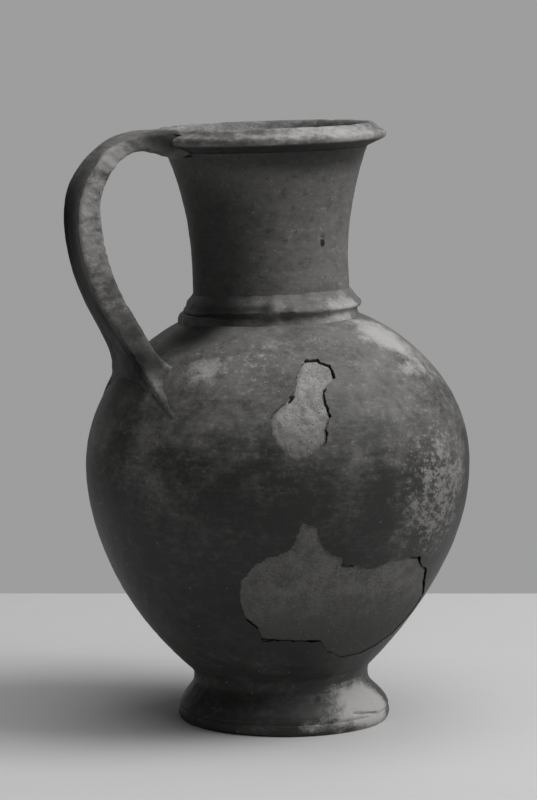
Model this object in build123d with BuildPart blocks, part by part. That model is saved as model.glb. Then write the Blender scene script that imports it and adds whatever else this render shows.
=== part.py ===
from build123d import *
from math import acos, asin, cos, degrees, radians, sin, sqrt
import os

# A one-handled ceramic jug on a flared foot, with two filled breaks in its wall.
# Millimetres. The origin is the centre of the foot's resting face, +Z is up and the handle points to -X.
# The foot stands level. The vessel above it leans a little towards the handle, about the waist's centre.
# Heights above the foot are measured from the waist along the vessel's own axis.
lean_angle = 2.0

# Foot: a hollow flared ring with a bead and a groove round its edge
foot_height = 18.5
foot_rest_radius = 41.5
foot_bead_radius = 43.2
foot_bead_height = 4.6
foot_groove_radius = 42.3
foot_edge_radius = 42.9
foot_edge_height = 7.4
foot_flare_run = 4.6
foot_hollow_radius = 30.0
foot_hollow_top_radius = 26.0
waist_radius = 35.4

# Body: a full belly under a domed shoulder
body_height = 145.0
belly_radius = 77.8
belly_height = 86.5
shoulder_ledge = 0.22
waist_fillet = 5.0
waist_turn = 45.0
waist_lead = 6.0
belly_lead = 45.0
body_wall = 4.8
floor_thickness = 7.0
floor_radius = 26.0

# Neck: straight above the shoulder, then flaring to the mouth
neck_height = 68.0
neck_radius = 31.0
neck_wall = 4.0
neck_straight = 20.5
neck_flare_radius = 130.0

# Ring: a rounded collar round the neck's base
ring_radius = 36.0
ring_height = 13.0
ring_foot_radius = 35.8

# Mouth rim: a drooping lip with a shallow groove below its crown
rim_height = 9.5
lip_radius = 47.7
lip_underside = 2.9
lip_thickness = 3.7
lip_round = 1.2
lip_groove_radius = 45.0
lip_groove_height = 7.3
crown_outer_radius = 43.8
crown_radius = 41.6
mouth_radius = 39.6
crown_round = 1.0

# Handle: a strap from the lip down to the shoulder, where its edges fan out
handle_overhang = 2.3
handle_width = 18.5
handle_thickness = 10.6
handle_side_bulge = 1.2
handle_dish = 0.7

# Handle stations from the lip down beside the neck, as shares: out from the lip's tip to the
# handle's stand, up from the body's top to the rim's, and of the strap's width and thickness
handle_arch_shares = [
    (-0.550, 0.955, 2.40, 0.63),
    (-0.175, 0.956, 2.05, 0.63),
    (0.200, 0.955, 1.30, 0.62),
    (0.500, 0.922, 1.08, 0.62),
    (0.763, 0.839, 1.02, 0.71),
    (0.945, 0.713, 1.00, 0.88),
    (1.000, 0.559, 1.00, 1.00),
    (0.937, 0.357, 1.00, 1.02),
    (0.780, 0.168, 1.03, 1.01),
    (0.590, 0.020, 1.17, 1.00),
]

# Handle stations down the shoulder, where the strap's edges fan out, as shares: up the dome from
# the belly, out of the dome's radius there, and of that radius and the strap's thickness
handle_landing_shares = [
    (0.889, 1.310, 0.532, 1.00),
    (0.759, 1.038, 0.590, 1.00),
    (0.648, 0.925, 0.707, 1.00),
    (0.545, 0.872, 0.886, 1.00),
    (0.444, 0.820, 1.070, 1.00),
    (0.341, 0.757, 1.147, 1.00),
    (0.237, 0.690, 1.183, 1.00),
]

# Fills: slabs let into breaks in the wall, a little below its outer face
shoulder_fill_height = 68.5
shoulder_fill_turn = -105.0
shoulder_fill_tilt = 38.0
shoulder_fill_left = 13.5
shoulder_fill_width = 28.0
shoulder_fill_low = 25.0
shoulder_fill_tall = 43.5
shoulder_fill_recess = 1.2

# Outline of the shoulder break, clockwise from its top, as shares of its width and height
shoulder_fill_shares = [
    (0.64, 0.99), (0.79, 1.00), (0.85, 0.95), (0.98, 0.92), (0.99, 0.78), (0.83, 0.68), (0.80, 0.58),
    (0.86, 0.39), (0.79, 0.31), (0.77, 0.16), (0.66, 0.10), (0.48, 0.03), (0.29, 0.00), (0.18, 0.08),
    (0.05, 0.18), (0.00, 0.37), (0.08, 0.46), (0.27, 0.56), (0.41, 0.66), (0.45, 0.78), (0.55, 0.92),
]

belly_fill_height = 81.5
belly_fill_turn = -95.0
belly_fill_tilt = -30.0
belly_fill_left = 37.0
belly_fill_width = 84.5
belly_fill_low = 39.0
belly_fill_tall = 69.5
belly_fill_recess = 0.7

# Outline of the belly break, clockwise from its top, as shares of its width and height
belly_fill_shares = [
    (0.25, 1.00), (0.32, 0.98), (0.33, 0.92), (0.36, 0.84), (0.44, 0.79), (0.46, 0.74), (0.53, 0.73),
    (0.58, 0.69), (0.69, 0.71), (0.83, 0.68), (0.88, 0.65), (0.91, 0.56), (0.95, 0.50), (0.96, 0.39),
    (1.00, 0.25), (0.97, 0.13), (0.84, 0.03), (0.68, 0.00), (0.54, 0.02), (0.45, 0.11), (0.41, 0.19),
    (0.25, 0.21), (0.14, 0.18), (0.12, 0.26), (0.04, 0.35), (0.01, 0.45), (0.00, 0.59), (0.05, 0.72),
    (0.13, 0.79), (0.20, 0.84), (0.22, 0.92),
]

# One overrun for every cut
overrun = 2.0

# The waist's plane, square to the leaning axis, and the upright plane that the profiles are drawn on
lean_x = Vector(cos(radians(lean_angle)), 0, sin(radians(lean_angle)))
lean_up = Vector(-sin(radians(lean_angle)), 0, cos(radians(lean_angle)))
waist_centre = Vector(0, 0, foot_height)
waist_plane = Plane(origin=waist_centre, x_dir=lean_x, z_dir=lean_up)
profile_plane = Plane(origin=waist_centre, x_dir=lean_x, z_dir=(0, -1, 0))
vessel_axis = Axis(waist_centre, lean_up)

# The shoulder's dome ends a ledge outside the ring's foot, at the body's top
body_top_radius = ring_foot_radius + shoulder_ledge
shoulder_rise = (body_height - belly_height) / sqrt(1 - (body_top_radius / belly_radius) ** 2)

bore_radius = neck_radius - neck_wall
neck_top = body_height + neck_height
rim_top = neck_top + rim_height
crown_shoulder = rim_top - crown_round


def shoulder_radius(height):
    """Radius of the domed shoulder at a height above the waist."""
    share = (height - belly_height) / shoulder_rise
    return belly_radius * sqrt(1 - share**2)


def neck_radius_at_top(inset=0):
    """Radius that the neck's flare reaches at the neck's top."""
    radius = neck_flare_radius + inset
    rise = neck_height - neck_straight
    return neck_radius - inset + radius - sqrt(radius**2 - rise**2)


def body_outline(inset, bottom_radius, bottom_height, top_radius):
    """Closed half outline of the body, with its outer line moved in by an inset."""
    belly = (belly_radius - inset, belly_height)
    with BuildLine() as outline:
        turn = JernArc((bottom_radius, bottom_height), (0, 1), waist_fillet, -waist_turn)
        lead = turn @ 1 + (turn % 1) * waist_lead
        Bezier(turn @ 1, lead, (belly[0], belly_height - belly_lead), belly)
        shoulder = EllipticalCenterArc(
            (0, belly_height),
            belly_radius - inset,
            shoulder_rise - inset,
            arc_size=degrees(acos(top_radius / (belly_radius - inset))),
        )
        Polyline(shoulder @ 1, (0, (shoulder @ 1).Y), (0, bottom_height), turn @ 0)
    return outline.line


def neck_outline(inset):
    """Closed half outline of the neck, with its outer line moved in by an inset."""
    flare_radius = neck_flare_radius + inset
    flare_angle = degrees(asin((neck_height - neck_straight) / flare_radius))
    with BuildLine() as outline:
        straight = Line(
            (neck_radius - inset, body_height),
            (neck_radius - inset, body_height + neck_straight),
        )
        flare = JernArc(straight @ 1, (0, 1), flare_radius, -flare_angle)
        Polyline(flare @ 1, (0, neck_top), (0, body_height), straight @ 0)
    return outline.line


def rim_outline(inner_points):
    """Closed half outline of the mouth's rim, round by the lip and back along the inner points."""
    lip_inner = lip_radius - lip_round
    lip_middle = neck_top + lip_underside + lip_thickness / 2
    lip_top = neck_top + lip_underside + lip_thickness
    with BuildLine() as outline:
        under = Line((neck_radius_at_top(), neck_top), (lip_inner, neck_top + lip_underside))
        tip = ThreePointArc(under @ 1, (lip_radius, lip_middle), (lip_inner, lip_top))
        groove = ThreePointArc(
            tip @ 1,
            (lip_groove_radius, neck_top + lip_groove_height),
            (crown_outer_radius, crown_shoulder),
        )
        crown = ThreePointArc(groove @ 1, (crown_radius, rim_top), (mouth_radius, crown_shoulder))
        Polyline(crown @ 1, *inner_points, under @ 0)
    return outline.line


def fill_plane(height, turn, tilt):
    """Plane that faces out of the wall from a point on the vessel's axis."""
    around = vessel_axis.direction
    facing = lean_x.rotate(vessel_axis, turn)
    sideways = around.cross(facing)
    outward = facing * cos(radians(tilt)) + around * sin(radians(tilt))
    return Plane(origin=waist_centre + around * height, x_dir=sideways, z_dir=outward)


def break_outline(shares, left, width, low, tall):
    """Points of a break's outline, from its shares of the break's width and height."""
    return [(across * width - left, up * tall - low) for across, up in shares]


# Foot, level at its base and cut square to the leaning vessel at the waist
with BuildPart() as foot:
    with BuildSketch(Plane.XZ):
        with BuildLine():
            bead = ThreePointArc(
                (foot_rest_radius, 0),
                (foot_bead_radius, foot_bead_height / 2),
                (foot_groove_radius, foot_bead_height),
            )
            edge = Line(bead @ 1, (foot_edge_radius, (foot_bead_height + foot_edge_height) / 2))
            lip = Line(edge @ 1, (foot_groove_radius, foot_edge_height))
            flare = Bezier(
                lip @ 1,
                (foot_groove_radius - foot_flare_run / 2, foot_edge_height + foot_flare_run),
                (waist_radius, foot_height - foot_flare_run),
                (waist_radius, foot_height),
            )
            Polyline(
                flare @ 1,
                (waist_radius, foot_height + overrun),
                (foot_hollow_top_radius, foot_height + overrun),
                (foot_hollow_top_radius, foot_height),
                (foot_hollow_radius, 0),
                bead @ 0,
            )
        make_face()
    revolve(axis=Axis.Z)
    split(bisect_by=waist_plane, keep=Keep.BOTTOM)
foot.part.label = "foot"

# The two breaks, as prisms from the vessel's axis out through the wall
shoulder_break_plane = fill_plane(shoulder_fill_height, shoulder_fill_turn, shoulder_fill_tilt)
with BuildPart() as shoulder_break:
    with BuildSketch(shoulder_break_plane):
        with BuildLine():
            Polyline(
                *break_outline(
                    shoulder_fill_shares,
                    shoulder_fill_left,
                    shoulder_fill_width,
                    shoulder_fill_low,
                    shoulder_fill_tall,
                ),
                close=True,
            )
        make_face()
    extrude(amount=belly_radius + shoulder_rise)

belly_break_plane = fill_plane(belly_fill_height, belly_fill_turn, belly_fill_tilt)
with BuildPart() as belly_break:
    with BuildSketch(belly_break_plane):
        with BuildLine():
            Polyline(
                *break_outline(
                    belly_fill_shares,
                    belly_fill_left,
                    belly_fill_width,
                    belly_fill_low,
                    belly_fill_tall,
                ),
                close=True,
            )
        make_face()
    extrude(amount=belly_radius + shoulder_rise)

# Body, a hollow shell with both breaks open
with BuildPart() as body:
    with BuildSketch(profile_plane):
        make_face(body_outline(0, waist_radius, 0, body_top_radius))
        make_face(
            body_outline(body_wall, floor_radius, floor_thickness, bore_radius),
            mode=Mode.SUBTRACT,
        )
        with BuildLine():
            Polyline(
                (0, belly_height),
                (bore_radius, belly_height),
                (bore_radius, body_height + overrun),
                (0, body_height + overrun),
                close=True,
            )
        make_face(mode=Mode.SUBTRACT)
    revolve(axis=vessel_axis)
    add(shoulder_break.part, mode=Mode.SUBTRACT)
    add(belly_break.part, mode=Mode.SUBTRACT)
body.part.label = "body"

# Fills, the parts of a slightly thinner wall that lie inside the breaks
with BuildPart() as shoulder_fill:
    with BuildSketch(profile_plane):
        make_face(body_outline(shoulder_fill_recess, waist_radius, 0, body_top_radius))
        make_face(
            body_outline(body_wall, floor_radius, floor_thickness, bore_radius),
            mode=Mode.SUBTRACT,
        )
    revolve(axis=vessel_axis)
    add(shoulder_break.part, mode=Mode.INTERSECT)
shoulder_fill.part.label = "shoulder_fill"

with BuildPart() as belly_fill:
    with BuildSketch(profile_plane):
        make_face(body_outline(belly_fill_recess, waist_radius, 0, body_top_radius))
        make_face(
            body_outline(body_wall, floor_radius, floor_thickness, bore_radius),
            mode=Mode.SUBTRACT,
        )
    revolve(axis=vessel_axis)
    add(belly_break.part, mode=Mode.INTERSECT)
belly_fill.part.label = "belly_fill"

# Neck, standing on the body's top
with BuildPart() as neck:
    with BuildSketch(profile_plane):
        make_face(neck_outline(0))
        make_face(neck_outline(neck_wall), mode=Mode.SUBTRACT)
    revolve(axis=vessel_axis)
neck.part.label = "neck"

# Ring, a rounded collar against the neck and on the shoulder
with BuildPart() as neck_ring:
    with BuildSketch(profile_plane):
        with BuildLine():
            collar = ThreePointArc(
                (ring_foot_radius, body_height),
                (ring_radius, body_height + ring_height / 2),
                (neck_radius, body_height + ring_height),
            )
            Polyline(collar @ 1, (neck_radius, body_height), collar @ 0)
        make_face()
    revolve(axis=vessel_axis)
neck_ring.part.label = "neck_ring"

# Mouth rim, standing on the neck's top
with BuildPart() as mouth_rim:
    with BuildSketch(profile_plane):
        make_face(rim_outline([(neck_radius_at_top(neck_wall), neck_top)]))
    revolve(axis=vessel_axis)
mouth_rim.part.label = "mouth_rim"

# The vessel filled solid, its mouth too and above it, which the handle is trimmed against
with BuildPart() as vessel_form:
    with BuildSketch(profile_plane):
        make_face(body_outline(0, waist_radius, 0, body_top_radius))
        make_face(neck_outline(0))
        make_face(rim_outline([(0, crown_shoulder), (0, neck_top)]))
        with BuildLine():
            Polyline(
                (0, neck_top),
                (crown_radius, neck_top),
                (crown_radius, rim_top + overrun),
                (0, rim_top + overrun),
                close=True,
            )
        make_face()
    revolve(axis=vessel_axis)

# Handle, a strap lofted through its stations and trimmed where it meets the vessel
handle_stand = belly_radius + handle_overhang
handle_stations = []
for out, up, width, thickness in handle_arch_shares:
    stand = lip_radius + out * (handle_stand - lip_radius)
    middle = profile_plane.from_local_coords((-stand, body_height + up * (rim_top - body_height)))
    handle_stations.append((middle, width * handle_width, thickness * handle_thickness))
for up, out, width, thickness in handle_landing_shares:
    height = belly_height + up * (body_height - belly_height)
    radius = shoulder_radius(height)
    middle = profile_plane.from_local_coords((-out * radius, height))
    handle_stations.append((middle, width * radius, thickness * handle_thickness))

with BuildPart() as handle:
    for number, (middle, width, thickness) in enumerate(handle_stations):
        before = handle_stations[max(number - 1, 0)][0]
        after = handle_stations[min(number + 1, len(handle_stations) - 1)][0]
        half = width / 2 - handle_side_bulge
        with BuildSketch(Plane(origin=middle, x_dir=(0, -1, 0), z_dir=after - before)):
            with BuildLine():
                outer = ThreePointArc(
                    (-half, thickness / 2),
                    (0, thickness / 2 - handle_dish),
                    (half, thickness / 2),
                )
                ThreePointArc(outer @ 1, (width / 2, 0), (half, -thickness / 2))
                inner = Line((half, -thickness / 2), (-half, -thickness / 2))
                ThreePointArc(inner @ 1, (-width / 2, 0), outer @ 0)
            make_face()
    loft()
    add(vessel_form.part, mode=Mode.SUBTRACT)
handle.part.label = "handle"

os.makedirs("parts", exist_ok=True)
for piece in (foot, body, neck, neck_ring, mouth_rim, handle, shoulder_fill, belly_fill):
    export_step(piece.part, f"parts/{piece.part.label}.step")
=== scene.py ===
import bmesh
import bpy
from bisect import bisect_right
from math import acos, asin, atan2, cos, hypot, radians, sin, sqrt, tau
from mathutils import Matrix, Vector, geometry, noise
from mathutils.bvhtree import BVHTree
from mathutils.kdtree import KDTree


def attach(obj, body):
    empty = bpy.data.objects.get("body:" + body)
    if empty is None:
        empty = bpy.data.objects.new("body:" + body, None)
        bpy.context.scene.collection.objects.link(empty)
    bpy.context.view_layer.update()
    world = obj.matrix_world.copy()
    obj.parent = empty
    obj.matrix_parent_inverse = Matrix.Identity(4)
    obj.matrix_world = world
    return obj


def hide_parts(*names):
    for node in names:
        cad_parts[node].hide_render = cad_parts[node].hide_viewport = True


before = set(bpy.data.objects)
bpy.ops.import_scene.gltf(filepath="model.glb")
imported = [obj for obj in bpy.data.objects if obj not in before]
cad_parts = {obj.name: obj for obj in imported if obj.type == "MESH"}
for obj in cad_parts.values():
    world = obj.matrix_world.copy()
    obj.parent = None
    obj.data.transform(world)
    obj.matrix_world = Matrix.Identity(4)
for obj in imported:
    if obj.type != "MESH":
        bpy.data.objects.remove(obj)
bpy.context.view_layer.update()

# A dark burnished jug on a flared foot, with two filled breaks in its wall.
# Metres. The vessel above the foot leans towards the handle, about the waist's centre, and its pieces
# are shaped upright, with the waist's centre as their origin, before they are leaned.
mm = 0.001
lean_angle = 2.0

foot_height = 18.5 * mm
foot_rest_radius = 41.5 * mm
foot_bead_radius = 43.2 * mm
foot_bead_height = 4.6 * mm
foot_groove_radius = 42.3 * mm
foot_edge_radius = 42.9 * mm
foot_edge_height = 7.4 * mm
foot_flare_run = 4.6 * mm
foot_hollow_radius = 30.0 * mm
foot_hollow_top_radius = 26.0 * mm
waist_radius = 35.4 * mm

body_height = 145.0 * mm
belly_radius = 77.8 * mm
belly_height = 86.5 * mm
shoulder_ledge = 0.22 * mm
waist_fillet = 5.0 * mm
waist_turn = 45.0
waist_lead = 6.0 * mm
belly_lead = 45.0 * mm
body_wall = 4.8 * mm
floor_thickness = 7.0 * mm
floor_radius = 26.0 * mm

neck_height = 68.0 * mm
neck_radius = 31.0 * mm
neck_wall = 4.0 * mm
neck_straight = 20.5 * mm
neck_flare_radius = 130.0 * mm

ring_radius = 36.0 * mm
ring_height = 13.0 * mm
ring_foot_radius = 35.8 * mm
ring_sink = 0.8 * mm

rim_height = 9.5 * mm
lip_radius = 47.7 * mm
lip_underside = 2.9 * mm
lip_thickness = 3.7 * mm
lip_round = 1.2 * mm
lip_groove_radius = 45.0 * mm
lip_groove_height = 7.3 * mm
crown_outer_radius = 43.8 * mm
crown_radius = 41.6 * mm
mouth_radius = 39.6 * mm
crown_round = 1.0 * mm

handle_overhang = 2.3 * mm
handle_width = 18.5 * mm
handle_thickness = 10.6 * mm
handle_dish = 0.7 * mm
handle_sink = 1.6 * mm
handle_droop = 8.0 * mm
handle_web = 6.0 * mm
handle_fillet = 5.0 * mm
handle_ridge = 1.2 * mm
handle_lip_depth = 2 * mm
handle_lip_stand = 0.7 * mm
handle_tail_sink = 0.6 * mm
handle_spread = 3 * mm
handle_corner_spread = 3.5 * mm
handle_middle = 5 * mm
handle_grooves = (2.4 * mm, 4.8 * mm, 7.2 * mm)
handle_groove_depth = 0.35 * mm

# Between which lengths the handle's forms set in: heights of its tail and of its worn flank, which is
# also painted lighter as lit, runs from its start, and distances from its middle line or its edge
handle_tail_rise = (100 * mm, 130 * mm)
handle_worn_lit_rise = (145 * mm, 180 * mm)
handle_lip_run = (16 * mm, 34 * mm)
handle_worn_lit_run = (30 * mm, 55 * mm)
handle_wing_side = (7 * mm, 15 * mm)
handle_thin_side = (9 * mm, 14 * mm)
handle_droop_side = (6 * mm, 30 * mm)
handle_sunk_side = (9 * mm, 18 * mm)
handle_rough_side = (4 * mm, 8 * mm)
handle_dish_edge = (1.6 * mm, 4.5 * mm)
handle_groove_edge = (0.15 * mm, 1.0 * mm)

# Handle stations from the lip down beside the neck, as shares: out from the lip's tip to the
# handle's stand, up from the body's top to the rim's, and of the strap's width and thickness
handle_arch_shares = [
    (-0.550, 0.955, 2.40, 0.63),
    (-0.175, 0.956, 2.05, 0.63),
    (0.200, 0.955, 1.30, 0.62),
    (0.500, 0.922, 1.08, 0.62),
    (0.763, 0.839, 1.02, 0.71),
    (0.945, 0.713, 1.00, 0.88),
    (1.000, 0.559, 1.00, 1.00),
    (0.937, 0.357, 1.00, 1.02),
    (0.780, 0.168, 1.03, 1.01),
    (0.590, 0.020, 1.17, 1.00),
]

# Handle stations down the shoulder, as shares: up the dome from the belly, out of the dome's radius
# there, and of that radius and the strap's thickness
handle_landing_shares = [
    (0.889, 1.310, 0.532, 1.00),
    (0.759, 1.038, 0.590, 1.00),
    (0.648, 0.925, 0.707, 1.00),
    (0.545, 0.872, 0.886, 1.00),
    (0.444, 0.820, 1.070, 1.00),
    (0.341, 0.757, 1.147, 1.00),
    (0.237, 0.690, 1.183, 1.00),
]

# The breaks: turn and tilt; height on the axis, left, width, low and tall; and the outline clockwise
# from its top, as shares of the width and height
shoulder_break_turns = (-105.0, 38.0)
shoulder_break_sizes = (68.5 * mm, 13.5 * mm, 28.0 * mm, 25.0 * mm, 43.5 * mm)
shoulder_break_shares = [
    (0.64, 0.99), (0.79, 1.00), (0.85, 0.95), (0.98, 0.92), (0.99, 0.78), (0.83, 0.68), (0.80, 0.58),
    (0.86, 0.39), (0.79, 0.31), (0.77, 0.16), (0.66, 0.10), (0.48, 0.03), (0.29, 0.00), (0.18, 0.08),
    (0.05, 0.18), (0.00, 0.37), (0.08, 0.46), (0.27, 0.56), (0.41, 0.66), (0.45, 0.78), (0.55, 0.92),
]
belly_break_turns = (-95.0, -30.0)
belly_break_sizes = (81.5 * mm, 37.0 * mm, 84.5 * mm, 39.0 * mm, 69.5 * mm)
belly_break_shares = [
    (0.25, 1.00), (0.32, 0.98), (0.33, 0.92), (0.36, 0.84), (0.44, 0.79), (0.46, 0.74), (0.53, 0.73),
    (0.58, 0.69), (0.69, 0.71), (0.83, 0.68), (0.88, 0.65), (0.91, 0.56), (0.95, 0.50), (0.96, 0.39),
    (1.00, 0.25), (0.97, 0.13), (0.84, 0.03), (0.68, 0.00), (0.54, 0.02), (0.45, 0.11), (0.41, 0.19),
    (0.25, 0.21), (0.14, 0.18), (0.12, 0.26), (0.04, 0.35), (0.01, 0.45), (0.00, 0.59), (0.05, 0.72),
    (0.13, 0.79), (0.20, 0.84), (0.22, 0.92),
]

# How deep each fill lies, how much deeper at its edge, its mesh's cell and its roughness
shoulder_fill_sizes = (0.9 * mm, 0.4 * mm, 0.5 * mm, 0.28 * mm)
belly_fill_sizes = (0.35 * mm, 0.1 * mm, 0.7 * mm, 0.12 * mm)

# Open cracks beside the fills, in millimetres on each fill's own plane, and how wide each is
shoulder_crack_lines = [
    ([(4.5, 18), (9, 17.8), (11, 16.2), (14, 14.8), (14.2, 9)], 0.8),
    ([(9.4, 3), (9.2, -2), (10.5, -8), (12.7, -9)], 0.6),
    ([(8.4, -13), (8.4, -18)], 0.5),
    ([(-3.5, 1), (-5, -1)], 0.8),
]
belly_crack_lines = [
    ([(33, 8), (37, 5), (40, 0), (43.2, -4), (44, -12), (47.3, -22)], 0.8),
    ([(-26, -25), (-14, -25.4), (-3, -25.5)], 0.35),
    ([(-34, -15), (-27, -20)], 0.35),
    ([(-9.6, 29), (-8.4, 26)], 0.6),
    ([(1, 12.6), (5, 11.8)], 0.5),
]

merge_reach = mm / 1000
weld_reach = mm / 100
crease_angle = 35
fill_crease_angle = 60
view_turn = -24
view_right = Vector((0.911, -0.412, 0))
vessel_place = Matrix.Translation((0, 0, foot_height)) @ Matrix.Rotation(radians(-lean_angle), 4, "Y")
vessel_up = vessel_place.to_3x3() @ Vector((0, 0, 1))
waist_slide = view_right * -1.2 * mm
body_top_radius = ring_foot_radius + shoulder_ledge
shoulder_rise = (body_height - belly_height) / sqrt(1 - (body_top_radius / belly_radius) ** 2)
bore_radius = neck_radius - neck_wall
neck_top = body_height + neck_height
rim_top = neck_top + rim_height
crown_shoulder = rim_top - crown_round
handle_stand = belly_radius + handle_overhang


def rise(value, low, high):
    """Smooth step from 0 at low to 1 at high."""
    share = min(max((value - low) / (high - low), 0), 1)
    return share * share * (3 - 2 * share)


def plateau(value, start, full, fading, end):
    """Smooth step up from 0 at start to 1 at full, and down again from fading to end."""
    return rise(value, start, full) * (1 - rise(value, fading, end))


def turning_lines(place, across, up):
    """Fine level lines left by turning, by their frequencies across and up."""
    return noise.noise(Vector((place.x * across, place.y * across, place.z * up)))


def grain(place, size, octaves=2):
    """Fractal noise of one grain size, about -1 to 1."""
    return noise.fractal(place / size, 1.0, 2.0, octaves)


def near(place, centre, reach):
    """1 at a centre given in millimetres, and 0 from a reach in millimetres outwards."""
    return 1 - rise((place - Vector(centre) * mm).length, 0, reach * mm)


def arc_points(start, middle, end, steps):
    """Points along the arc through three points, after its start."""
    a, b, c = Vector(start), Vector(middle), Vector(end)
    twice = 2 * (a.x * (b.y - c.y) + b.x * (c.y - a.y) + c.x * (a.y - b.y))
    squares = a.length_squared, b.length_squared, c.length_squared
    centre = Vector((
        (squares[0] * (b.y - c.y) + squares[1] * (c.y - a.y) + squares[2] * (a.y - b.y)) / twice,
        (squares[0] * (c.x - b.x) + squares[1] * (a.x - c.x) + squares[2] * (b.x - a.x)) / twice,
    ))
    first, second, last = (atan2(p.y - centre.y, p.x - centre.x) for p in (a, b, c))
    turn = (last - first) % tau
    if (second - first) % tau > turn:
        turn -= tau
    radius = (a - centre).length
    angles = [first + turn * step / steps for step in range(1, steps + 1)]
    return [(centre.x + radius * cos(angle), centre.y + radius * sin(angle)) for angle in angles]


def line_points(start, end, steps):
    """Points along a straight line, after its start."""
    run = Vector(end) - Vector(start)
    return [tuple(Vector(start) + run * step / steps) for step in range(1, steps + 1)]


def curve_points(start, first_pull, second_pull, end, steps):
    """Points along a Bezier curve, after its start."""
    knots = [Vector(point) for point in (start, first_pull, second_pull, end)]
    return [tuple(point) for point in geometry.interpolate_bezier(*knots, steps + 1)[1:]]


def body_line(inset, bottom_radius, bottom_height, top_radius, steps):
    """Points up one face of the body's wall: waist, flank and dome."""
    belly = belly_radius - inset
    turn = radians(waist_turn)
    points = [
        (
            bottom_radius + waist_fillet * (1 - cos(turn * step / steps[0])),
            bottom_height + waist_fillet * sin(turn * step / steps[0]),
        )
        for step in range(steps[0] + 1)
    ]
    lead = (points[-1][0] + waist_lead * sin(turn), points[-1][1] + waist_lead * cos(turn))
    belly_start = (belly, belly_height - belly_lead)
    points += curve_points(points[-1], lead, belly_start, (belly, belly_height), steps[1])
    dome = acos(top_radius / belly)
    for step in range(1, steps[2] + 1):
        angle = dome * step / steps[2]
        points.append((belly * cos(angle), belly_height + (shoulder_rise - inset) * sin(angle)))
    return points


def neck_line(inset, steps):
    """Points up one face of the neck's wall: straight, then flaring."""
    radius = neck_flare_radius + inset
    flare = asin((neck_height - neck_straight) / radius)
    bend = body_height + neck_straight
    points = [(neck_radius - inset, body_height)]
    points += line_points(points[0], (neck_radius - inset, bend), steps[0])
    for step in range(1, steps[1] + 1):
        angle = flare * step / steps[1]
        points.append((neck_radius - inset + radius * (1 - cos(angle)), bend + radius * sin(angle)))
    return points


def rim_line():
    """Points round the outside of the mouth's rim, from the neck's top to the mouth."""
    points = [(neck_line(0, (1, 1))[-1][0], neck_top)]
    lip_inner = lip_radius - lip_round
    lip_middle = neck_top + lip_underside + lip_thickness / 2
    points += line_points(points[-1], (lip_inner, neck_top + lip_underside), 7)
    tip_end = (lip_inner, neck_top + lip_underside + lip_thickness)
    points += arc_points(points[-1], (lip_radius, lip_middle), tip_end, 12)
    groove_end = (crown_outer_radius, crown_shoulder)
    points += arc_points(points[-1], (lip_groove_radius, neck_top + lip_groove_height), groove_end, 10)
    points += arc_points(points[-1], (crown_radius, rim_top), (mouth_radius, crown_shoulder), 9)
    return points


body_outside = body_line(0, waist_radius, 0, body_top_radius, (8, 96, 84))
neck_outside = neck_line(0, (24, 52))
rim_outside = rim_line()
vessel_line = body_outside + neck_outside + rim_outside
vessel_outside = sorted(
    (height, radius) for radius, height in vessel_line if height < neck_top or radius >= crown_radius
)
vessel_heights = [height for height, radius in vessel_outside]


def wall_radius(height):
    """Radius of the vessel's outside at a height above the waist."""
    upper = min(max(bisect_right(vessel_heights, height), 1), len(vessel_outside) - 1)
    (low, low_radius), (high, high_radius) = vessel_outside[upper - 1], vessel_outside[upper]
    share = min(max((height - low) / max(high - low, weld_reach), 0), 1)
    return low_radius + (high_radius - low_radius) * share


def turned(points, steps, closed=False):
    """A mesh of an outline spun round the axis, its seam and poles merged and its faces outwards."""
    mesh = bmesh.new()
    verts = [mesh.verts.new((radius, 0, height)) for radius, height in points]
    ends = verts[1:] + verts[:1] if closed else verts[1:]
    edges = [mesh.edges.new(pair) for pair in zip(verts, ends)]
    bmesh.ops.spin(
        mesh,
        geom=verts + edges,
        cent=(0, 0, 0),
        axis=(0, 0, 1),
        dvec=(0, 0, 0),
        angle=tau,
        steps=steps,
        use_merge=True,
    )
    tidy(mesh)
    return mesh


def tidy(mesh):
    """Merges a mesh's doubles and turns its faces outwards."""
    bmesh.ops.remove_doubles(mesh, verts=mesh.verts, dist=merge_reach)
    bmesh.ops.recalc_face_normals(mesh, faces=mesh.faces)
    mesh.normal_update()


def weather(mesh, shift):
    """Moves each vertex along its normal by what the shift says of its place."""
    moves = [(vert, vert.normal * shift(vert.co)) for vert in mesh.verts]
    for vert, move in moves:
        vert.co += move
    mesh.normal_update()


def slide(mesh, still, full):
    """Moves a mesh's places sideways, not at all at one height and fully at another."""
    for vert in mesh.verts:
        vert.co += waist_slide * rise(vert.co.z, still, full)


def as_piece(mesh, name, place, crease=crease_angle):
    """An object of a finished mesh, leaned or level, with its sharp edges kept."""
    bmesh.ops.transform(mesh, matrix=place, space=Matrix.Identity(4), verts=mesh.verts)
    data = bpy.data.meshes.new(name)
    mesh.to_mesh(data)
    mesh.free()
    data.shade_smooth()
    data.set_sharp_from_angle(angle=radians(crease))
    piece = bpy.data.objects.new(name, data)
    bpy.context.collection.objects.link(piece)
    return piece


def finish_piece(piece, node, material):
    """Puts a piece in a node's stead, with its finish."""
    piece.data.materials.clear()
    piece.data.materials.append(material)
    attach(piece, "root")
    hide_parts(node)


class Wire:
    """A shader socket that takes part in sums."""

    def __init__(self, finish, socket):
        self.finish = finish
        self.socket = socket

    def sum(self, operation, first, second):
        return self.finish.node("ShaderNodeMath", {"operation": operation}, {0: first, 1: second})

    def __add__(self, other):
        return self.sum("ADD", self, other)

    def __radd__(self, other):
        return self.sum("ADD", other, self)

    def __sub__(self, other):
        return self.sum("SUBTRACT", self, other)

    def __rsub__(self, other):
        return self.sum("SUBTRACT", other, self)

    def __mul__(self, other):
        return self.sum("MULTIPLY", self, other)

    def __rmul__(self, other):
        return self.sum("MULTIPLY", other, self)


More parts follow.
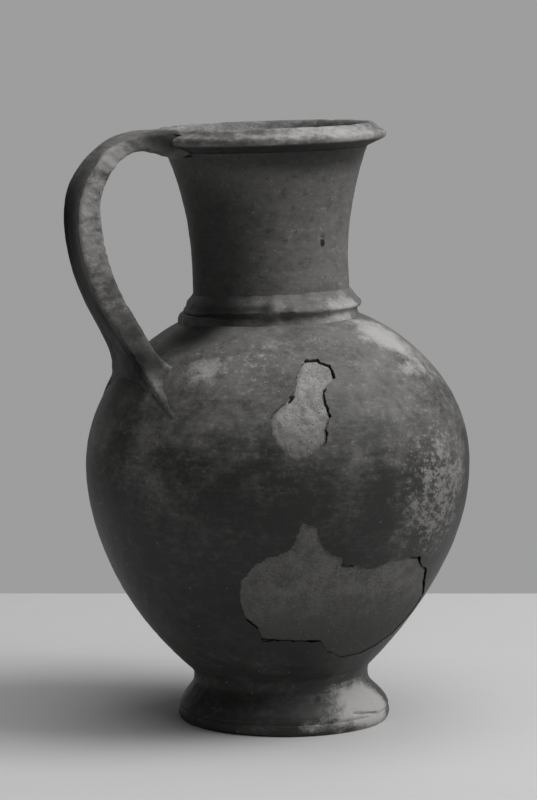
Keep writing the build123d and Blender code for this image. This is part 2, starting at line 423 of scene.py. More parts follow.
class Finish:
    """A material under construction."""

    def __init__(self, name):
        self.material = bpy.data.materials.new(name)
        self.material.use_nodes = True
        self.tree = self.material.node_tree
        self.tree.nodes.clear()
        self.places = self.node("ShaderNodeTexCoord", {}, {}, "Object")

    def node(self, kind, settings, sockets, output=0):
        """One node: its settings first, then the values or links of its sockets."""
        made = self.tree.nodes.new(kind)
        for name, value in settings.items():
            setattr(made, name, value)
        for name, value in sockets.items():
            if isinstance(value, Wire):
                self.tree.links.new(value.socket, made.inputs[name])
            else:
                made.inputs[name].default_value = value
        return Wire(self, made.outputs[output])

    def vector(self, operation, first, second, output="Vector"):
        """A vector sum."""
        return self.node("ShaderNodeVectorMath", {"operation": operation}, {0: first, 1: second}, output)

    def level(self):
        """Height along the leaning vessel's own axis, from the waist."""
        apart = self.vector("SUBTRACT", self.places, (0, 0, foot_height))
        return self.vector("DOT_PRODUCT", apart, tuple(vessel_up), "Value")

    def cloud(self, size, detail=3.0, roughness=0.55, stretch=(1, 1, 1)):
        """Soft noise from 0 to 1, its lumps a size in millimetres, stretched along each axis."""
        scales = tuple(1 / (size * mm * share) for share in stretch)
        places = self.vector("MULTIPLY", self.places, scales)
        sockets = {"Vector": places, "Scale": 1.0, "Detail": detail, "Roughness": roughness}
        return self.node("ShaderNodeTexNoise", {}, sockets)

    def step(self, value, low, high):
        """Smooth step from 0 at low to 1 at high."""
        sockets = {"Value": value, "From Min": low, "From Max": high}
        return self.node("ShaderNodeMapRange", {"interpolation_type": "SMOOTHSTEP"}, sockets)

    def spot(self, centre, reach):
        """1 at a centre in millimetres, fading to 0 at a reach along each axis."""
        apart = self.vector("SUBTRACT", self.places, tuple(length * mm for length in centre))
        apart = self.vector("DIVIDE", apart, tuple(length * mm for length in reach))
        length = self.node("ShaderNodeVectorMath", {"operation": "LENGTH"}, {0: apart}, "Value")
        return 1 - self.step(length, 0.2, 1.0)

    def spots(self, spots):
        """The sum of spots, each with its centre, reach and strength."""
        return sum(strength * self.spot(centre, reach) for centre, reach, strength in spots)

    def specks(self, size, width, share):
        """Sparse dots: 1 in a dot's middle, in a share of the cells of a size in millimetres."""
        places = self.vector("MULTIPLY", self.places, (1 / (size * mm),) * 3)
        sockets = {"Vector": places, "Scale": 1.0, "Randomness": 1.0}
        cells = self.node("ShaderNodeTexVoronoi", {}, sockets, "Distance")
        colour = Wire(self, cells.socket.node.outputs["Color"])
        chance = self.node("ShaderNodeSeparateColor", {}, {0: colour})
        return (1 - self.step(cells, width * 0.5, width)) * self.step(chance, 1 - share, 1.001 - share)

    def mix(self, mask, under, over):
        """One colour over another by a mask."""
        settings = {"data_type": "RGBA"}
        return self.node("ShaderNodeMix", settings, {0: mask, 6: under, 7: over}, 2)

    def lump(self, height, depth, under=None):
        """A bump of a depth in millimetres, over another."""
        sockets = {"Height": height, "Distance": depth * mm, "Strength": 1.0}
        if under:
            sockets["Normal"] = under
        return self.node("ShaderNodeBump", {}, sockets)

    def close(self, colour, roughness, normal):
        """Ends the material in its shader."""
        sockets = {"Base Color": colour, "Roughness": roughness, "Normal": normal}
        sockets["Specular IOR Level"] = 0.25
        shader = self.node("ShaderNodeBsdfPrincipled", {}, sockets)
        output = self.tree.nodes.new("ShaderNodeOutputMaterial")
        self.tree.links.new(shader.socket, output.inputs["Surface"])
        return self.material


def grey(tone):
    """A near-neutral clay colour of one tone."""
    return (tone * 1.02, tone, tone * 0.97, 1)


# The dark ware's grain sizes in millimetres, the heights between which dust gathers on it, how far the
# painted shade under the lip and the wear on the lip reach, and its tones, the wear tone also painting
# highlights and the shade tone painted shade
mottle_size = 24
patch_size = 8
smudge_size = 2.6
fine_size = 1.1
line_size = 8
stain_size = 4.2
speck_size = 3.6
small_speck_size = 1.7
pit_size = 2.9
dust_low = 112 * mm
dust_high = 200 * mm
dust_stray = 100 * mm
lip_shade_low = 0.2 * mm
lip_shade_high = 0.7 * mm
lip_worn = 1.0 * mm
dust_tone = 0.165
fleck_tone = 0.30
wear_and_highlight_tone = 0.38
pale_tone = 0.36
pit_tone = 0.015
shade_tone = 0.012


def dark_ware(
    name, wear_and_highlight_spots, painted_shade_and_dark_spots=(), crust_spots=(), wear=0.0, side_wear_and_light=0.0, slip=0.036, lip=False
):
    """Dark burnished slip, clouded with dust, with worn spots and painted highlights, painted shade spots,
    and, where asked for, a near side worn and painted lighter as lit, and a lip worn above and painted
    shade below.
    """
    finish = Finish(name)
    mottle = finish.cloud(mottle_size, 4, 0.6)
    patch = finish.cloud(patch_size, 5, 0.65, (1.4, 1.4, 0.8))
    smudge = finish.cloud(smudge_size, 4, 0.6, (1.3, 1.3, 0.8))
    fine = finish.cloud(fine_size, 4, 0.7)
    lines = finish.cloud(line_size, 4, 0.6, (3, 3, 0.16))
    near_side = finish.node("ShaderNodeAttribute", {"attribute_name": "near_side"}, {}, "Fac")
    level = finish.level()
    # Worn spots wear the slip paler; some of them are painted highlights, and the near side's wear is
    # partly painted light
    bias = finish.spots(wear_and_highlight_spots) + near_side * side_wear_and_light + wear
    shade = finish.spots(painted_shade_and_dark_spots)
    if lip:
        lip_level = neck_top + lip_underside
        bias = bias + 0.12 * finish.step(level, lip_level, lip_level + lip_worn)
        # Painted shade under the lip: near black below its edge, fading out just above it
        shade = shade + 0.9 * (1 - finish.step(level, lip_level - lip_shade_low, lip_level + lip_shade_high))
    worn = finish.step(mottle * 0.25 + patch * 0.35 + smudge * 0.2 + fine * 0.2 + bias, 0.57, 0.80)
    upper = finish.step(level + mottle * dust_stray, dust_low, dust_high)
    crusted = finish.spots(crust_spots)
    crust = upper * 0.8 + crusted
    cover = upper * 0.2 + crusted * 0.06
    dust = finish.step(
        patch * 0.25 + mottle * 0.25 + smudge * 0.25 + fine * 0.15 + lines * 0.1 + cover, 0.45, 0.78
    )
    flecks = finish.step(smudge * 0.45 + patch * 0.2 + fine * 0.35 + crusted * 0.05, 0.54, 0.66) * crust
    stains = finish.step(finish.cloud(stain_size, 4, 0.65), 0.55, 0.66)
    pale = finish.specks(speck_size, 0.13, 0.22)
    pale = pale + finish.specks(small_speck_size, 0.2, 0.16) * (dust + crust)
    pits = finish.specks(pit_size, 0.14, 0.25)
    colour = finish.mix(dust, grey(slip), grey(dust_tone))
    colour = finish.mix(flecks * 0.75, colour, grey(fleck_tone))
    colour = finish.mix(stains * 0.35, colour, grey(slip))
    # Wear, and painted highlights where the spots say so
    colour = finish.mix(worn, colour, grey(wear_and_highlight_tone))
    colour = finish.mix(pale * 0.5, colour, grey(pale_tone))
    colour = finish.mix(pits * 0.45, colour, grey(pit_tone))
    # Painted shade: the shade spots and the lip's shade darken the colour to near black; the same mix also
    # darkens a few real dark marks
    colour = finish.mix(shade, colour, grey(shade_tone))
    rough = 0.46 + dust * 0.18 + worn * 0.26
    bump = finish.lump(lines, 0.07)
    bump = finish.lump(fine * 0.6 + patch * 0.4, 0.14, bump)
    return finish.close(colour, rough, bump)


def filler(name, tone, low_tone, size, depth, fade):
    """Dull granular filling, mottled between two tones and darker below a level."""
    finish = Finish(name)
    patch = finish.cloud(size * 6, 5, 0.6)
    grit = finish.cloud(size, 5, 0.7)
    pits = finish.specks(size * 2.2, 0.22, 0.4)
    grains = finish.specks(size * 1.4, 0.28, 0.3)
    mask = finish.step(patch * 0.5 + grit * 0.5, 0.40, 0.60)
    colour = finish.mix(mask, grey(low_tone), grey(tone))
    colour = finish.mix(1 - finish.step(finish.level(), *fade), colour, grey(low_tone * 0.7))
    colour = finish.mix(grains * 0.5, colour, grey(tone * 1.6))
    colour = finish.mix(pits * 0.6, colour, grey(low_tone * 0.35))
    bump = finish.lump(grit - pits * 0.5, depth)
    return finish.close(colour, 0.85, bump)


# Camera, lights and table
camera_lens = 141.8
camera_place = (-0.5211, -1.1549, 0.2731)
camera_tilt = 83.54
camera_data = bpy.data.cameras.new("camera")
camera_data.lens = camera_lens
camera = bpy.data.objects.new("camera", camera_data)
camera.location = camera_place
camera.rotation_euler = (radians(camera_tilt), 0, radians(view_turn))
bpy.context.collection.objects.link(camera)
bpy.context.scene.camera = camera
bpy.context.scene.view_settings.view_transform = "Standard"


vessel_middle = Vector((0, 0, 0.12))
lamp_reach = 2.4
key_size = 1.4
overhead_size = 2.8


def lamp(name, turn, tilt, size, power):
    """A soft square light that faces the vessel's middle."""
    data = bpy.data.lights.new(name, "AREA")
    data.shape = "SQUARE"
    data.size = size
    data.energy = power
    light = bpy.data.objects.new(name, data)
    flat = cos(radians(tilt))
    away = Vector((flat * cos(radians(turn)), flat * sin(radians(turn)), sin(radians(tilt))))
    light.location = vessel_middle + away * lamp_reach
    light.rotation_euler = away.to_track_quat("Z", "Y").to_euler()
    bpy.context.collection.objects.link(light)


lamp("key", -34, 44, key_size, 44.0)
lamp("overhead", -70, 78, overhead_size, 42.0)

# The studio: a mid-grey backdrop that falls off to a dark room in front
view_ahead = (0.407, 0.914, 0)
backdrop_tone = (0.34, 0.34, 0.34, 1)
room_tone = 0.05
studio = Finish("studio_falloff")
world = bpy.data.worlds.new("studio")
bpy.context.scene.world = world
world.use_nodes = True
studio.tree = world.node_tree
studio.places = studio.node("ShaderNodeTexCoord", {}, {}, "Generated")
away = studio.vector("DOT_PRODUCT", studio.places, view_ahead, "Value")
backdrop = studio.mix(studio.step(away, 0.55, 0.96), grey(room_tone), backdrop_tone)
studio.tree.links.new(backdrop.socket, world.node_tree.nodes["Background"].inputs["Color"])
bpy.data.materials.remove(studio.material)

table_width = 1.3
table_depth = 0.9
table_back = 0.29
table_thickness = 0.03
table_edge = 4 * mm
table_low_tone = (0.54, 0.54, 0.54, 1)
table_high_tone = (0.57, 0.57, 0.57, 1)
table_cloud_size = 60
table_grain_size = 3
table_grain_depth = 0.02
table_mesh = bmesh.new()
bmesh.ops.create_cube(table_mesh, size=1)
bmesh.ops.scale(table_mesh, vec=(table_width, table_depth, table_thickness), verts=table_mesh.verts)
bmesh.ops.translate(
    table_mesh,
    vec=(0, table_back - table_depth / 2, -table_thickness / 2),
    verts=table_mesh.verts,
)
bmesh.ops.bevel(
    table_mesh,
    geom=table_mesh.edges[:],
    offset=table_edge,
    offset_type="OFFSET",
    segments=3,
    profile=0.5,
    affect="EDGES",
    material=-1,
)
table = as_piece(table_mesh, "table", Matrix.Rotation(radians(view_turn), 4, "Z"))
table_finish = Finish("table_top")
table.data.materials.append(table_finish.close(
    table_finish.mix(table_finish.cloud(table_cloud_size), table_low_tone, table_high_tone),
    0.8,
    table_finish.lump(table_finish.cloud(table_grain_size), table_grain_depth),
))


# Body: spun, weathered, and opened at its two breaks
body_still = (0, 4 * mm, 139 * mm, 144 * mm)
body_line_rates = (12, 330)
body_swell_size = 60 * mm
body_grain_size = 5 * mm
crust_centre = (42, -64, 82)
crust_reach = 34
crust_grain_size = 4 * mm
slide_still = 70 * mm
slide_full = 12 * mm


def body_shift(place):
    """How far the body's wall stands out or in at a place."""
    fade = plateau(place.z, *body_still)
    lines = turning_lines(place, *body_line_rates)
    crust = near(place, crust_centre, crust_reach)
    shift = -0.15 + 0.3 * grain(place, body_swell_size) + 0.06 * lines
    shift += 0.08 * grain(place, body_grain_size, 3) + crust * 0.5 * abs(grain(place, crust_grain_size, 3))
    return shift * fade * mm


def break_plane(turns, height):
    """Where a break's own plane lies, its Z out of the wall."""
    turn, tilt = (radians(angle) for angle in turns)
    facing = Vector((cos(turn), sin(turn), 0))
    sideways = Vector((-sin(turn), cos(turn), 0))
    outward = facing * cos(tilt) + Vector((0, 0, sin(tilt)))
    upward = outward.cross(sideways)
    return Matrix.Translation((0, 0, height)) @ Matrix((sideways, upward, outward)).transposed().to_4x4()


outline_step = 0.55 * mm
stray_depth = 0.5 * mm
stray_sizes = (1.0 * mm, 2.4 * mm, 6.0 * mm)
stray_start = Vector((3.7, 8.2, 0.4))
stray_apart = Vector((17.3, 5.1, 9.7))


def jagged_outline(shares, sizes):
    """A break's outline on its plane, its runs divided and roughened."""
    left, width, low, tall = sizes[1:]
    corners = [Vector((across * width - left, up * tall - low, 0)) for across, up in shares]
    points = []
    for start, end in zip(corners, corners[1:] + corners[:1]):
        count = max(round((end - start).length / outline_step), 1)
        for number in range(count):
            place = start + (end - start) * number / count
            for size in stray_sizes:
                here = place / size + stray_start
                stray = Vector((noise.noise(here), noise.noise(here + stray_apart), 0))
                place = place + stray * stray_depth
            points.append(place)
    return points


inside_reach = 30 * mm
outside_reach = 120 * mm


def break_cutter(outline, plane):
    """A prism through the wall, from inside the vessel to outside it."""
    mesh = bmesh.new()
    mesh.faces.new([mesh.verts.new((point.x, point.y, inside_reach)) for point in outline])
    grown = bmesh.ops.extrude_face_region(mesh, geom=mesh.faces[:])
    moved = [item for item in grown["geom"] if isinstance(item, bmesh.types.BMVert)]
    bmesh.ops.translate(mesh, vec=(0, 0, outside_reach - inside_reach), verts=moved)
    tidy(mesh)
    return as_piece(mesh, "cutter", plane)


fill_edge_width = 1.4 * mm
fill_grit_size = 2.4 * mm
fill_swell_size = 11 * mm
crack_depth = 2.8 * mm


def fill_slab(outline, plane, recess, edge_drop, cell, roughness, tree, cracks):
    """A slab that fills a break, its face a little below the wall's and sunk along the cracks."""
    mesh = bmesh.new()
    mesh.faces.new([mesh.verts.new(point) for point in outline])
    for axis in (0, 1):
        low = min(point[axis] for point in outline)
        high = max(point[axis] for point in outline)
        across = Vector((1 - axis, axis, 0))
        for number in range(1, int((high - low) / cell) + 1):
            geom = mesh.verts[:] + mesh.edges[:] + mesh.faces[:]
            cut = across * (low + number * cell)
            bmesh.ops.bisect_plane(mesh, geom=geom, plane_co=cut, plane_no=across, dist=merge_reach)
    rim = [vert for vert in mesh.verts if vert.is_boundary]
    rim_tree = KDTree(len(rim))
    for number, vert in enumerate(rim):
        rim_tree.insert(vert.co, number)
    rim_tree.balance()
    grown = bmesh.ops.extrude_face_region(mesh, geom=mesh.faces[:])
    back = {item for item in grown["geom"] if isinstance(item, bmesh.types.BMVert)}
    outward = plane.to_3x3() @ Vector((0, 0, 1))
    for vert in mesh.verts:
        flat = vert.co.copy()
        if vert in back:
            start = plane @ (flat + Vector((0, 0, inside_reach)))
            vert.co = tree.ray_cast(start, outward)[0]
            continue
        start = plane @ (flat + Vector((0, 0, outside_reach)))
        hit = tree.ray_cast(start, -outward)[0]
        edge = rim_tree.find(flat)[2]
        sunk = recess + edge_drop * (1 - rise(edge, 0, fill_edge_width))
        sunk += roughness * (grain(flat, fill_grit_size, 3) + 0.8 * grain(flat, fill_swell_size))
        for points, width in cracks:
            line = [Vector((*point, 0)) * mm for point in points]
            apart = min((flat - span_point(flat, *span)).length for span in zip(line, line[1:]))
            sunk += crack_depth * (1 - rise(apart, width * 0.35 * mm, width * mm))
        vert.co = hit - outward * sunk
    tidy(mesh)
    return mesh


def span_point(place, start, end):
    """The point of a straight run nearest to a place."""
    run = end - start
    share = min(max((place - start).dot(run) / run.length_squared, 0), 1)
    return start + run * share


body_inside = body_line(body_wall, floor_radius, floor_thickness, bore_radius, (3, 26, 20))
body_bottom = [(0, 0), (waist_radius / 3, 0), (waist_radius * 2 / 3, 0)]
body_points = body_bottom + body_outside + [(bore_radius, body_height)]
body_points += body_inside[::-1] + [(0, floor_thickness)]
body_mesh = turned(body_points, 336)
weather(body_mesh, body_shift)
slide(body_mesh, slide_still, slide_full)
body_tree = BVHTree.FromBMesh(body_mesh)
body = as_piece(body_mesh, "jug_body", Matrix.Identity(4))

shoulder_outline = jagged_outline(shoulder_break_shares, shoulder_break_sizes)
shoulder_plane = break_plane(shoulder_break_turns, shoulder_break_sizes[0])
belly_outline = jagged_outline(belly_break_shares, belly_break_sizes)
belly_plane = break_plane(belly_break_turns, belly_break_sizes[0])
for outline, plane in ((shoulder_outline, shoulder_plane), (belly_outline, belly_plane)):
    cutter = break_cutter(outline, plane)
    cut = body.modifiers.new("cut", "BOOLEAN")
    cut.operation = "DIFFERENCE"
    cut.solver = "EXACT"
    cut.object = cutter
    shape = bpy.data.meshes.new_from_object(body.evaluated_get(bpy.context.evaluated_depsgraph_get()))
    body.modifiers.clear()
    body.data = shape
    bpy.data.objects.remove(cutter)
body.data.transform(vessel_place)
body.data.set_sharp_from_angle(angle=radians(crease_angle))

shoulder_fill_mesh = fill_slab(
    shoulder_outline, shoulder_plane, *shoulder_fill_sizes, body_tree, shoulder_crack_lines
)
shoulder_fill = as_piece(shoulder_fill_mesh, "jug_shoulder_fill", vessel_place, fill_crease_angle)
belly_fill_mesh = fill_slab(belly_outline, belly_plane, *belly_fill_sizes, body_tree, belly_crack_lines)
belly_fill = as_piece(belly_fill_mesh, "jug_belly_fill", vessel_place, fill_crease_angle)


# Neck
neck_line_rates = (14, 420)
neck_swell_size = 32 * mm
neck_grain_size = 4 * mm
neck_pit_centre = (8.9, -30.3, 178.2)
neck_pit_reach = 1.9
neck_joint = 1.2 * mm


def neck_shift(place):
    """How far the neck's wall stands out or in at a place."""
    lines = turning_lines(place, *neck_line_rates)
    left = max(-place.xy.normalized().dot(view_right.xy), 0)
    shift = 0.7 * left + 0.25 * grain(place, neck_swell_size) + 0.08 * lines
    shift += 0.07 * grain(place, neck_grain_size, 3) - 1.2 * near(place, neck_pit_centre, neck_pit_reach)
    return shift * mm


neck_points = neck_outside + [(neck_outside[-1][0] - neck_joint, neck_top + neck_joint)]
neck_points += neck_line(neck_wall, (8, 24))[::-1]
neck_mesh = turned(neck_points, 256, closed=True)
weather(neck_mesh, neck_shift)
neck = as_piece(neck_mesh, "jug_neck", vessel_place)


# Ring: a hand-pressed collar above a hollow, sloping out to its edge, flared at its left and lumpy in front
ring_flare_turns = (145, 175, 225, 250)
ring_band_turns = (116, 122, 150, 172)
ring_swell_size = 14 * mm
ring_grain_size = 4 * mm
ring_lump_centre = (-14.0, -32.5, 152.4)
ring_lump_reach = 5.6
ring_dent_centre = (-9.6, -35.2, 148.6)
ring_dent_reach = 4.4
ring_hollow = 2.0 * mm
ring_edge_drop = 0.4 * mm


def ring_shift(place):
    """How far the ring stands out or in at a place."""
    turn = -atan2(place.y, place.x) % tau
    height = (place.z - body_height) / ring_height
    flare = plateau(turn, *map(radians, ring_flare_turns))
    banded = plateau(turn, *map(radians, ring_band_turns))
    bead = 1 - rise(abs(height - 0.62), 0.06, 0.20)
    undercut = 1 - rise(abs(height - 0.38), 0.08, 0.24)
    hollow_fill = 3.2 * (1 - rise(height, 0.17, 0.4))
    hollow_fill -= 0.8 * (1 - rise(abs(height - 0.42), 0, 0.16))
    shift = -0.2 + 0.4 * grain(place, ring_swell_size) + 0.25 * grain(place, ring_grain_size, 3)
    shift += 0.6 * banded * (0.6 * bead - 1.6 * undercut) + flare * hollow_fill
    shift += 2.2 * near(place, ring_lump_centre, ring_lump_reach)
    shift -= 2.4 * near(place, ring_dent_centre, ring_dent_reach)
    return shift * mm


ring_sunk = body_height - ring_sink
ring_points = [(neck_radius - neck_wall / 2, ring_sunk), (ring_foot_radius, ring_sunk)]
ring_points += curve_points(
    ring_points[-1],
    (ring_foot_radius - ring_hollow * 0.6, body_height + ring_height * 0.1),
    (ring_foot_radius - ring_hollow, body_height + ring_height * 0.2),
    (ring_foot_radius - ring_hollow / 2, body_height + ring_height * 0.3),
    12,
)
ring_points += arc_points(
    ring_points[-1],
    (ring_radius, body_height + ring_height * 0.38),
    (ring_radius - ring_edge_drop, body_height + ring_height * 0.46),
    8,
)
ring_points += line_points(ring_points[-1], (neck_radius - ring_sink, body_height + ring_height), 20)
ring_points += line_points(ring_points[-1], (neck_radius - neck_wall / 2, body_height + ring_height / 2), 3)
ring_mesh = turned(ring_points, 288, closed=True)
weather(ring_mesh, ring_shift)
ring = as_piece(ring_mesh, "jug_ring", vessel_place)


# Mouth rim
rim_wear_size = 8 * mm
rim_chip_size = 2.6 * mm
rim_swell_size = 30 * mm


def rim_shift(place):
    """How far the rim stands out or in at a place."""
    worn = max(grain(place, rim_wear_size, 3), 0)
    chips = max(grain(place, rim_chip_size) - 0.35, 0)
    return (-0.05 + 0.12 * grain(place, rim_swell_size) - 0.5 * worn - 0.9 * chips) * mm


rim_inside = neck_line(neck_wall, (1, 1))[-1][0]
rim_points = rim_outside + line_points(rim_outside[-1], (rim_inside, neck_top), 8)
rim_points += line_points(rim_points[-1], rim_points[0], 4)[:-1]
rim_mesh = turned(rim_points, 320, closed=True)
weather(rim_mesh, rim_shift)
rim = as_piece(rim_mesh, "jug_rim", vessel_place)


# Foot: level at its base, and cut square to the leaning vessel at the waist
foot_still = (0.3 * mm, 1.6 * mm, foot_height - 3 * mm, foot_height - mm)
foot_slide_still = 7 * mm
foot_slit_turn = 62.7
foot_slit_turns = (9, 12)
foot_slit_start = 52.8
foot_slit_span = 19.8
foot_slit_height = 5.1 * mm
foot_slit_rise = 2.4 * mm
foot_slit_width = (0.2 * mm, 0.9 * mm)
foot_groove_width = (0.3 * mm, 1.4 * mm)
foot_swell_size = 18 * mm
foot_grain_size = 3.5 * mm
foot_blob_centre = (0, -36.9, 13.2)
foot_blob_reach = 1.8
foot_overlap = 2 * mm


def foot_shift(place):
    """How far the foot stands out or in at a place."""
    fade = plateau(place.z, *foot_still)
    turn = -atan2(place.y, place.x)
    along = 1 - rise(abs(turn - radians(foot_slit_turn)), *map(radians, foot_slit_turns))
    climb = foot_slit_rise * (turn - radians(foot_slit_start)) / radians(foot_slit_span)
    slit = along * (1 - rise(abs(place.z - foot_slit_height - climb), *foot_slit_width))
    groove = 1 - rise(abs(place.z - foot_bead_height), *foot_groove_width)
    shift = -0.25 + 0.3 * grain(place, foot_swell_size) + 0.16 * grain(place, foot_grain_size, 3)
    shift += 0.35 * groove + 0.5 * near(place, foot_blob_centre, foot_blob_reach) - 1.1 * slit
    return shift * fade * mm


foot_points = [(foot_rest_radius, 0)]
foot_points += arc_points(
    foot_points[0], (foot_bead_radius, foot_bead_height / 2), (foot_groove_radius, foot_bead_height), 10
)
foot_edge_middle = (foot_edge_radius, (foot_bead_height + foot_edge_height) / 2)
foot_points += line_points(foot_points[-1], foot_edge_middle, 3)
foot_points += line_points(foot_edge_middle, (foot_groove_radius, foot_edge_height), 3)
foot_points += curve_points(
    foot_points[-1],
    (foot_groove_radius - foot_flare_run / 2, foot_edge_height + foot_flare_run),
    (waist_radius, foot_height - foot_flare_run),
    (waist_radius, foot_height),
    20,
)
foot_over = foot_height + foot_overlap
foot_points += [(waist_radius, foot_over), (foot_hollow_top_radius, foot_over)]
foot_points.append((foot_hollow_top_radius, foot_height))
foot_points += line_points(foot_points[-1], (foot_hollow_radius, 0), 6)
foot_points += line_points(foot_points[-1], foot_points[0], 4)[:-1]
foot_mesh = turned(foot_points, 288, closed=True)
weather(foot_mesh, foot_shift)
slide(foot_mesh, foot_slide_still, foot_height)
bmesh.ops.bisect_plane(
    foot_mesh,
    geom=foot_mesh.verts[:] + foot_mesh.edges[:] + foot_mesh.faces[:],
    plane_co=(0, 0, foot_height),
    plane_no=vessel_up,
    dist=merge_reach,
    clear_outer=True,
)
bmesh.ops.bridge_loops(foot_mesh, edges=[edge for edge in foot_mesh.edges if edge.is_boundary])
tidy(foot_mesh)
foot = as_piece(foot_mesh, "jug_foot", Matrix.Identity(4))


# Handle: a strap led through its stations, its ends pressed onto the vessel
handle_step = 0.5 * mm
handle_swell_size = 20 * mm
handle_grain_size = 3 * mm


def handle_stations():
    """Centre, width and thickness of the strap at each station, from the lip to the shoulder."""
    stations = []
    for out, up, width, thickness in handle_arch_shares:
        stand = lip_radius + out * (handle_stand - lip_radius)
        height = body_height + up * (rim_top - body_height)
        stations.append(Vector((-stand, height, width * handle_width, thickness * handle_thickness)))
    for up, out, width, thickness in handle_landing_shares:
        height = belly_height + up * (body_height - belly_height)
        radius = wall_radius(height)
        stations.append(Vector((-out * radius, height, width * radius, thickness * handle_thickness)))
    return stations


def station_at(stations, reaches, reach):
    """The strap at a reach along its run, smoothly between its stations."""
    span = min(max(bisect_right(reaches, reach), 1), len(stations) - 1)
    low, high = span - 1, span
    share = (reach - reaches[low]) / (reaches[high] - reaches[low])
    before, after = max(low - 1, 0), min(high + 1, len(stations) - 1)
    slope_low = (stations[high] - stations[before]) / (reaches[high] - reaches[before])
    slope_high = (stations[after] - stations[low]) / (reaches[after] - reaches[low])
    length = reaches[high] - reaches[low]
    square, cube = share**2, share**3
    return (
        stations[low] * (2 * cube - 3 * square + 1)
        + slope_low * length * (cube - 2 * square + share)
        + stations[high] * (3 * square - 2 * cube)
        + slope_high * length * (cube - square)
    )


def strap_point(stations, reaches, along, around):
    """A strap point along its run and round its section, with its tail, inner, crest and side parts."""
    reach = reaches[-1] * along
    here = station_at(stations, reaches, reach)
    before = station_at(stations, reaches, max(reach - handle_step, 0))
    after = station_at(stations, reaches, min(reach + handle_step, reaches[-1]))
    heading = Vector((after.x - before.x, 0, after.y - before.y)).normalized()
    outward = Vector((heading.z, 0, -heading.x))
    half_width, half_thickness = here.z / 2, here.w / 2
    angle = tau * around
    tail = 1 - rise(here.y, *handle_tail_rise)
    squareness = 0.3 + 0.4 * tail
    across = abs(cos(angle)) ** squareness * (1 if cos(angle) > 0 else -1)
    through = abs(sin(angle)) ** squareness * (1 if sin(angle) > 0 else -1)
    side, depth = across * half_width, through * half_thickness
    edge = half_width - abs(side)
    lip_part = 1 - rise(reach, *handle_lip_run)
    wing = rise(side, *handle_wing_side) * lip_part
    if through > 0:
        depth -= handle_dish * rise(edge, *handle_dish_edge) * (1 - lip_part)
        low_part = rise(along, 0.45, 0.6)
        for groove in handle_grooves:
            depth -= handle_groove_depth * low_part * (1 - rise(abs(edge - groove), *handle_groove_edge))
    else:
        web = handle_web * wing * (1 - rise(side, *handle_thin_side))
        depth += through * (handle_lip_depth * lip_part + web)
    depth -= handle_droop * rise(side, *handle_droop_side) * lip_part
    place = Vector((here.x, -side, here.y)) + outward * depth
    high_part = 0.5 + 0.5 * rise(here.y, *handle_worn_lit_rise)
    # The near side's wear: the flank turned to the camera and the key light, worn and partly painted light
    near_side = rise(across - abs(through), -0.08, 0.06) * rise(reach, *handle_worn_lit_run)
    near_side *= high_part * (1 - tail)
    inner = rise(min(abs(across), -through), 0.2, 0.85)
    crest = 0.4 * (1 - across * across) + 1.1 * (1 - rise(abs(abs(across) - 0.62), 0, 0.34))
    return webbed(place, wing), tail, inner, crest * (1 - rise(along, 0.86, 0.98)), near_side


def webbed(place, wing):
    """A strap point, drawn in where it is on the near wing to a web from the lip's edge to the neck."""
    radius = hypot(place.x, place.y)
    low = neck_top - handle_web
    edge = lip_radius + handle_lip_stand
    limit = wall_radius(low) + (edge - wall_radius(low)) * rise(place.z, low, neck_top + lip_underside)
    limit += (wall_radius(place.z) - 2 * handle_sink - limit) * rise(-place.y, *handle_sunk_side)
    over = max(radius - limit, 0) * wing
    return Vector((place.x * (1 - over / radius), place.y * (1 - over / radius), place.z))


def pressed(place, tail, inner, crest):
    """A strap point, low and spread where it lands on the vessel and held just under the vessel's face."""
    radius = hypot(place.x, place.y)
    if radius < crown_radius:
        place.z = min(place.z, crown_shoulder - crown_round)
    wall = wall_radius(place.z)
    apart = max(radius - wall - handle_tail_sink * tail, -handle_sink)
    if apart > 0:
        apart *= (1 - tail * (1 - crest)) / (1 + tail * apart / handle_ridge)
    fillet = handle_fillet * (1 + inner)
    if apart < fillet and place.z < neck_top - 2 * handle_web:
        share = 1 - max(apart, 0) / fillet
        spread = (handle_spread + handle_corner_spread * inner) * (1 - sqrt(1 - share * share))
        place.y += spread * max(min(place.y / handle_middle, 1), -1)
        radius = hypot(place.x, place.y)
    scale = (wall + apart) / radius
    return Vector((place.x * scale, place.y * scale, place.z))


def handle_shift(place):
    """How far the strap stands out or in at a place."""
    rough = 0.08 + 0.22 * rise(-place.y, *handle_rough_side)
    shift = -0.1 + 0.25 * grain(place, handle_swell_size) + rough * grain(place, handle_grain_size, 3)
    return shift * mm


strap_stations = handle_stations()
strap_reaches = [0.0]
for before, after in zip(strap_stations, strap_stations[1:]):
    strap_reaches.append(strap_reaches[-1] + (after.xy - before.xy).length)
handle_mesh = bmesh.new()
bmesh.ops.create_grid(handle_mesh, x_segments=120, y_segments=240, size=0.5)
near_side = handle_mesh.verts.layers.float.new("near_side")
for vert in handle_mesh.verts:
    around, along = vert.co.x + 0.5, vert.co.y + 0.5
    *parts, vert[near_side] = strap_point(strap_stations, strap_reaches, along, around % 1)
    vert.co = pressed(*parts)
bmesh.ops.remove_doubles(handle_mesh, verts=handle_mesh.verts, dist=weld_reach)
bmesh.ops.holes_fill(handle_mesh, edges=[edge for edge in handle_mesh.edges if edge.is_boundary])
tidy(handle_mesh)
weather(handle_mesh, handle_shift)
handle = as_piece(handle_mesh, "jug_handle", vessel_place)
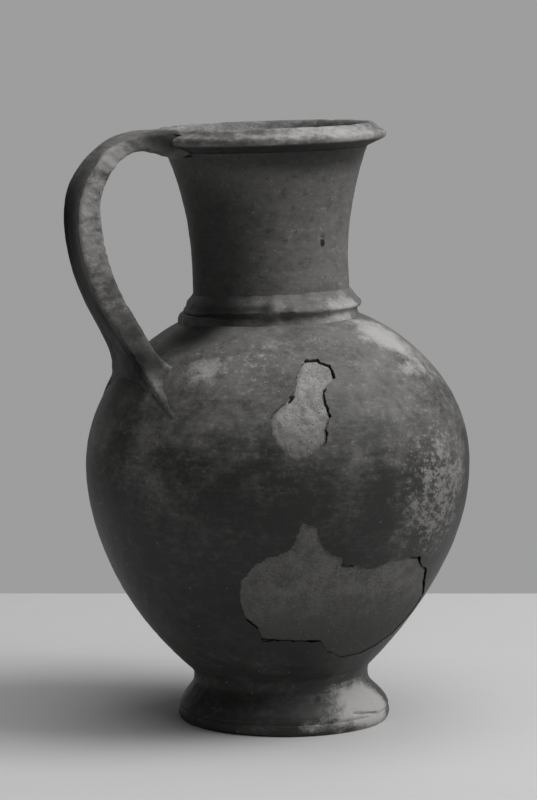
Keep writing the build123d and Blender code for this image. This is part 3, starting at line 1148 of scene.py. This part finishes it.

# Finishes, their spots each with centre and reach in millimetres, and strength
# Body: the first two worn spots paint the highlight on the lit right shoulder beside the ring, over real
# wear, and the others are worn patches; of the dark spots, the second and third are painted shade beside
# the handle's root and under the ring's left, and the first and last darken the front low down and the
# lower belly
body_ware = dark_ware("body_ware", [
    ((25, -32, 158), (24, 19, 15), 0.28),
    ((33, -45, 146), (32, 26, 18), 0.12),
    ((-46, -33, 145), (16, 15, 12), 0.3),
    ((-20, -44, 154), (34, 20, 14), 0.11),
], [
    ((-22, -56, 44), (70, 60, 44), 0.6),
    ((-66, -2, 140), (26, 24, 34), 0.6),
    ((-43, -12, 159), (22, 19, 14), 1.0),
    ((10, -40, 80), (130, 130, 60), 0.45),
], [
    ((36, -64, 98), (36, 34, 40), 1.7),
    ((-36, -44, 148), (22, 20, 22), 0.7),
])
# Neck: the worn strip paints a highlight down its lit right side; the first two dark spots are painted
# shade on its left and under the lip, and the last is a small real dark mark
neck_ware = dark_ware("neck_ware", [((26, -14, 190), (16, 18, 60), 0.08)], [
    ((-40, -12, 190), (36, 34, 70), 0.7),
    ((-8, -40, 229), (60, 50, 9), 0.7),
    ((3, -30, 195), (1.6, 1.6, 2.2), 1.8),
])
# Ring: the worn spot paints a highlight on its lit right; the dark spot is painted shade on its left
ring_ware = dark_ware(
    "ring_ware", [((14, -31, 168), (28, 16, 12), 0.24)], [((-38, -18, 168), (24, 24, 20), 0.85)]
)
# Rim: the dark spot is painted shade under the lip beside the handle; lip=True adds the lip's own painted
# shade
rim_painted_shade_spots = [((-27, -36, 239), (10, 8, 2.5), 0.6)]
rim_ware = dark_ware("rim_ware", [((6, -46, 238), (50, 16, 8), 0.11)], rim_painted_shade_spots, lip=True)
# Foot: the first worn spot paints the light on the foot's lit right, over its mottled crust; the others are
# wear
foot_ware = dark_ware("foot_ware", [
    ((21, -34, 8), (28, 22, 18), 0.34),
    ((-38, -16, 8), (10, 10, 8), 0.12),
    ((-8, -42, 4), (14, 10, 6), 0.16),
])
# Handle: all its dark spots are painted shade, at its root under the lip and on its outer face, turned from
# the light; its darker slip and lowered wear partly paint that shade too, and its near side's wear is
# partly painted light
handle_ware = dark_ware("handle_ware", [
    ((-77, -9, 230), (15, 11, 9), 0.3),
    ((-52, -20, 152), (12, 10, 9), 0.2),
], [
    ((-36, -18, 218), (20, 17, 15), 1.2),
    ((-54, -13, 236), (19, 14, 8), 0.9),
    ((-93, 4, 196), (14, 16, 52), 1.0),
    ((-81, 0, 171), (13, 12, 24), 0.8),
    ((-72, -2, 152), (22, 20, 26), 0.9),
    ((-66, -12, 147), (17, 16, 10), 0.8),
], wear=-0.06, side_wear_and_light=0.25, slip=0.02)
pale_fill_fade = (96 * mm, 116 * mm)
# The belly fill is the same filling as the shoulder fill, its darker tones painted shade
painted_shade_fill_fade = (20 * mm, 50 * mm)
pale_fill = filler("pale_fill", 0.33, 0.20, 0.8, 0.3, pale_fill_fade)
dark_fill = filler("dark_fill", 0.15, 0.09, 1.0, 0.2, painted_shade_fill_fade)

finish_piece(body, "body", body_ware)
finish_piece(neck, "neck", neck_ware)
finish_piece(ring, "neck_ring", ring_ware)
finish_piece(rim, "mouth_rim", rim_ware)
finish_piece(foot, "foot", foot_ware)
finish_piece(handle, "handle", handle_ware)
finish_piece(shoulder_fill, "shoulder_fill", pale_fill)
finish_piece(belly_fill, "belly_fill", dark_fill)
